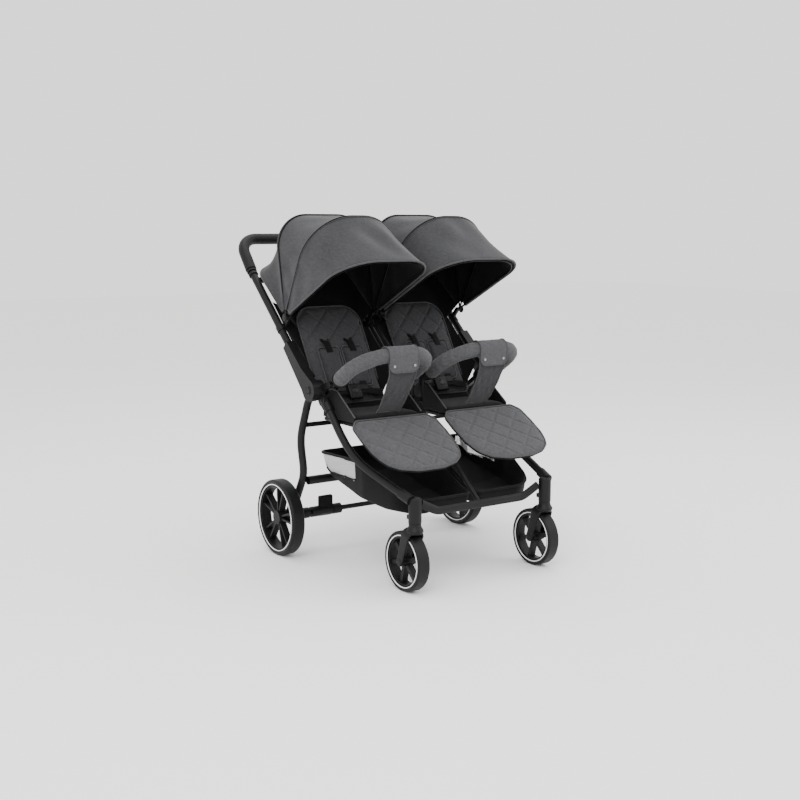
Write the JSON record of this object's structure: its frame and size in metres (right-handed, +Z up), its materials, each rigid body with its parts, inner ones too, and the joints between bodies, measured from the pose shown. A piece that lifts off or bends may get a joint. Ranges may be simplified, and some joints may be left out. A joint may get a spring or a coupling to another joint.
{
  "type": "side-by-side twin stroller",
  "caption": "Folding side-by-side stroller with twin reclining seats, canopies, bumper bars, swivelling front casters and a braked rear axle.",
  "frame": {"origin": "on the floor, midway between the left and right sides and between the front and back of the bounding box", "axes": "+Z up, +X towards the sitter's left hand (the viewer's right, seen from the front), the front of the stroller faces -Y"},
  "size_m": [0.754, 0.9416, 1.0724],
  "materials": {
    "frame_tube": "satin black powder coat",
    "moulded_plastic": "fine moulded grain",
    "pin_steel": "turned",
    "tyre_foam": "matte foam-filled tread",
    "rim_plastic": "satin moulded with a thin pale ring",
    "grip_foam": "soft matte foam",
    "bow_plastic": "smooth",
    "lining_fabric": "black woven lining",
    "melange_fabric": "heathered grey weave"
  },
  "bodies": {
    "root": {"front_tube_left": "frame_tube", "front_tube_right": "frame_tube", "front_cross_tube": "frame_tube", "centre_tube": "frame_tube", "swivel_housing_left": "moulded_plastic", "swivel_housing_right": "moulded_plastic", "hinge_base_left": "moulded_plastic", "hinge_base_right": "moulded_plastic", "hinge_pins": "pin_steel", "seat_frame": "frame_tube", "seat_pad_left": "lining_fabric", "seat_pad_right": "lining_fabric", "seat_wings": "lining_fabric", "basket": "lining_fabric", "crotch_straps": "melange_fabric"},
    "upper_frame": {"upper_tube_left": "frame_tube", "upper_tube_right": "frame_tube", "centre_uprights": "frame_tube", "hinge_cover_left": "moulded_plastic", "hinge_cover_right": "moulded_plastic", "handle_bar": "frame_tube", "handle_grip": "grip_foam", "handle_collars": "moulded_plastic", "release_housing": "moulded_plastic", "canopy_mounts": "moulded_plastic", "side_panels": "lining_fabric"},
    "release_button": {"release_button": "pin_steel"},
    "rear_legs": {"rear_leg_left": "frame_tube", "rear_leg_right": "frame_tube", "rear_cross_bars": "frame_tube", "axle_blocks": "moulded_plastic"},
    "brake_pedal": {"brake_pedal": "moulded_plastic"},
    "rear_wheel_left": {"rear_tyre_left": "tyre_foam", "rear_rim_left": "rim_plastic"},
    "caster_left": {"caster_fork_left": "moulded_plastic", "caster_pins_left": "pin_steel"},
    "front_wheel_left": {"front_tyre_left": "tyre_foam", "front_rim_left": "rim_plastic"},
    "canopy_hoop_left": {"canopy_hoop_left": "bow_plastic", "canopy_cloth_left": "melange_fabric"},
    "canopy_mid_left": {"canopy_mid_bow_left": "bow_plastic"},
    "canopy_front_left": {"canopy_front_bow_left": "bow_plastic"},
    "backrest_left": {"backrest_left": "melange_fabric", "harness_left": "lining_fabric"},
    "leg_rest_left": {"leg_rest_left": "melange_fabric"},
    "bumper_left": {"bumper_left": "melange_fabric"},
    "rear_wheel_right": {"rear_tyre_right": "tyre_foam", "rear_rim_right": "rim_plastic"},
    "caster_right": {"caster_fork_right": "moulded_plastic", "caster_pins_right": "pin_steel"},
    "front_wheel_right": {"front_tyre_right": "tyre_foam", "front_rim_right": "rim_plastic"},
    "canopy_hoop_right": {"canopy_hoop_right": "bow_plastic", "canopy_cloth_right": "melange_fabric"},
    "canopy_mid_right": {"canopy_mid_bow_right": "bow_plastic"},
    "canopy_front_right": {"canopy_front_bow_right": "bow_plastic"},
    "backrest_right": {"backrest_right": "melange_fabric", "harness_right": "lining_fabric"},
    "leg_rest_right": {"leg_rest_right": "melange_fabric"},
    "bumper_right": {"bumper_right": "melange_fabric"}
  },
  "joints": [
    {"name": "fold", "type": "hinge", "parent": "root", "child": "upper_frame", "pos_m": [0, -0.0155, 0.547], "axis": [1, 0, 0], "range_deg": [0, 128], "deforming": ["basket", "crotch_straps"]},
    {"name": "rear_leg_fold", "type": "hinge", "parent": "root", "child": "rear_legs", "pos_m": [0, -0.0155, 0.547], "axis": [1, 0, 0], "range_deg": [-50, 0]},
    {"name": "bumper_left_swing", "type": "hinge", "parent": "root", "child": "bumper_left", "pos_m": [-0.167, -0.0835, 0.569], "axis": [1, 0, 0], "range_deg": [0, 60]},
    {"name": "canopy_hoop_left_tilt", "type": "hinge", "parent": "upper_frame", "child": "canopy_hoop_left", "pos_m": [-0.176, 0.13958, 0.75721], "axis": [1, 0, 0], "range_deg": [-35, 0]},
    {"name": "canopy_left_open", "type": "hinge", "parent": "canopy_hoop_left", "child": "canopy_mid_left", "pos_m": [-0.176, 0.13958, 0.75721], "axis": [1, 0, 0], "range_deg": [-31, 0], "deforming": ["canopy_cloth_left"]},
    {"name": "canopy_front_left_tilt", "type": "hinge", "parent": "canopy_mid_left", "child": "canopy_front_left", "pos_m": [-0.176, 0.13958, 0.75721], "axis": [1, 0, 0], "range_deg": [-30, 0]},
    {"name": "backrest_left_recline", "type": "hinge", "parent": "upper_frame", "child": "backrest_left", "pos_m": [-0.167, 0.0125, 0.492], "axis": [1, 0, 0], "range_deg": [-50, 0]},
    {"name": "leg_rest_left_lift", "type": "hinge", "parent": "root", "child": "leg_rest_left", "pos_m": [-0.167, -0.1845, 0.472], "axis": [1, 0, 0], "range_deg": [-30, 0]},
    {"name": "caster_left_swivel", "type": "hinge", "parent": "root", "child": "caster_left", "pos_m": [-0.242, -0.4205, 0.207], "axis": [0, 0, 1], "continuous": true},
    {"name": "front_wheel_left_spin", "type": "hinge", "parent": "caster_left", "child": "front_wheel_left", "pos_m": [-0.242, -0.3815, 0.088], "axis": [1, 0, 0], "continuous": true},
    {"name": "rear_wheel_left_spin", "type": "hinge", "parent": "rear_legs", "child": "rear_wheel_left", "pos_m": [-0.355, 0.1625, 0.121], "axis": [1, 0, 0], "continuous": true},
    {"name": "bumper_right_swing", "type": "hinge", "parent": "root", "child": "bumper_right", "pos_m": [0.167, -0.0835, 0.569], "axis": [1, 0, 0], "range_deg": [0, 60]},
    {"name": "canopy_hoop_right_tilt", "type": "hinge", "parent": "upper_frame", "child": "canopy_hoop_right", "pos_m": [0.176, 0.13958, 0.75721], "axis": [1, 0, 0], "range_deg": [-35, 0]},
    {"name": "canopy_right_open", "type": "hinge", "parent": "canopy_hoop_right", "child": "canopy_mid_right", "pos_m": [0.176, 0.13958, 0.75721], "axis": [1, 0, 0], "range_deg": [-31, 0], "deforming": ["canopy_cloth_right"]},
    {"name": "canopy_front_right_tilt", "type": "hinge", "parent": "canopy_mid_right", "child": "canopy_front_right", "pos_m": [0.176, 0.13958, 0.75721], "axis": [1, 0, 0], "range_deg": [-30, 0]},
    {"name": "backrest_right_recline", "type": "hinge", "parent": "upper_frame", "child": "backrest_right", "pos_m": [0.167, 0.0125, 0.492], "axis": [1, 0, 0], "range_deg": [-50, 0]},
    {"name": "leg_rest_right_lift", "type": "hinge", "parent": "root", "child": "leg_rest_right", "pos_m": [0.167, -0.1845, 0.472], "axis": [1, 0, 0], "range_deg": [-30, 0]},
    {"name": "caster_right_swivel", "type": "hinge", "parent": "root", "child": "caster_right", "pos_m": [0.242, -0.4205, 0.207], "axis": [0, 0, 1], "continuous": true},
    {"name": "front_wheel_right_spin", "type": "hinge", "parent": "caster_right", "child": "front_wheel_right", "pos_m": [0.242, -0.3815, 0.088], "axis": [1, 0, 0], "continuous": true},
    {"name": "rear_wheel_right_spin", "type": "hinge", "parent": "rear_legs", "child": "rear_wheel_right", "pos_m": [0.355, 0.1625, 0.121], "axis": [1, 0, 0], "continuous": true},
    {"name": "brake_pedal_press", "type": "hinge", "parent": "rear_legs", "child": "brake_pedal", "pos_m": [-0.19, 0.1625, 0.121], "axis": [1, 0, 0], "range_deg": [-18, 0]},
    {"name": "release_press", "type": "slide", "parent": "upper_frame", "child": "release_button", "axis": [0, 0.6414, 0.7672], "range_m": [0, 0.005], "stiffness_N_per_m": 400}
  ],
  "couplings": [
    {"joint": "rear_leg_fold", "follows": "fold", "ratio": -0.39062},
    {"joint": "bumper_left_swing", "follows": "fold", "ratio": 0.46875},
    {"joint": "canopy_hoop_left_tilt", "follows": "fold", "ratio": -0.27344},
    {"joint": "canopy_front_left_tilt", "follows": "fold", "ratio": -0.23437},
    {"joint": "bumper_right_swing", "follows": "fold", "ratio": 0.46875},
    {"joint": "canopy_hoop_right_tilt", "follows": "fold", "ratio": -0.27344},
    {"joint": "canopy_front_right_tilt", "follows": "fold", "ratio": -0.23437}
  ]
}
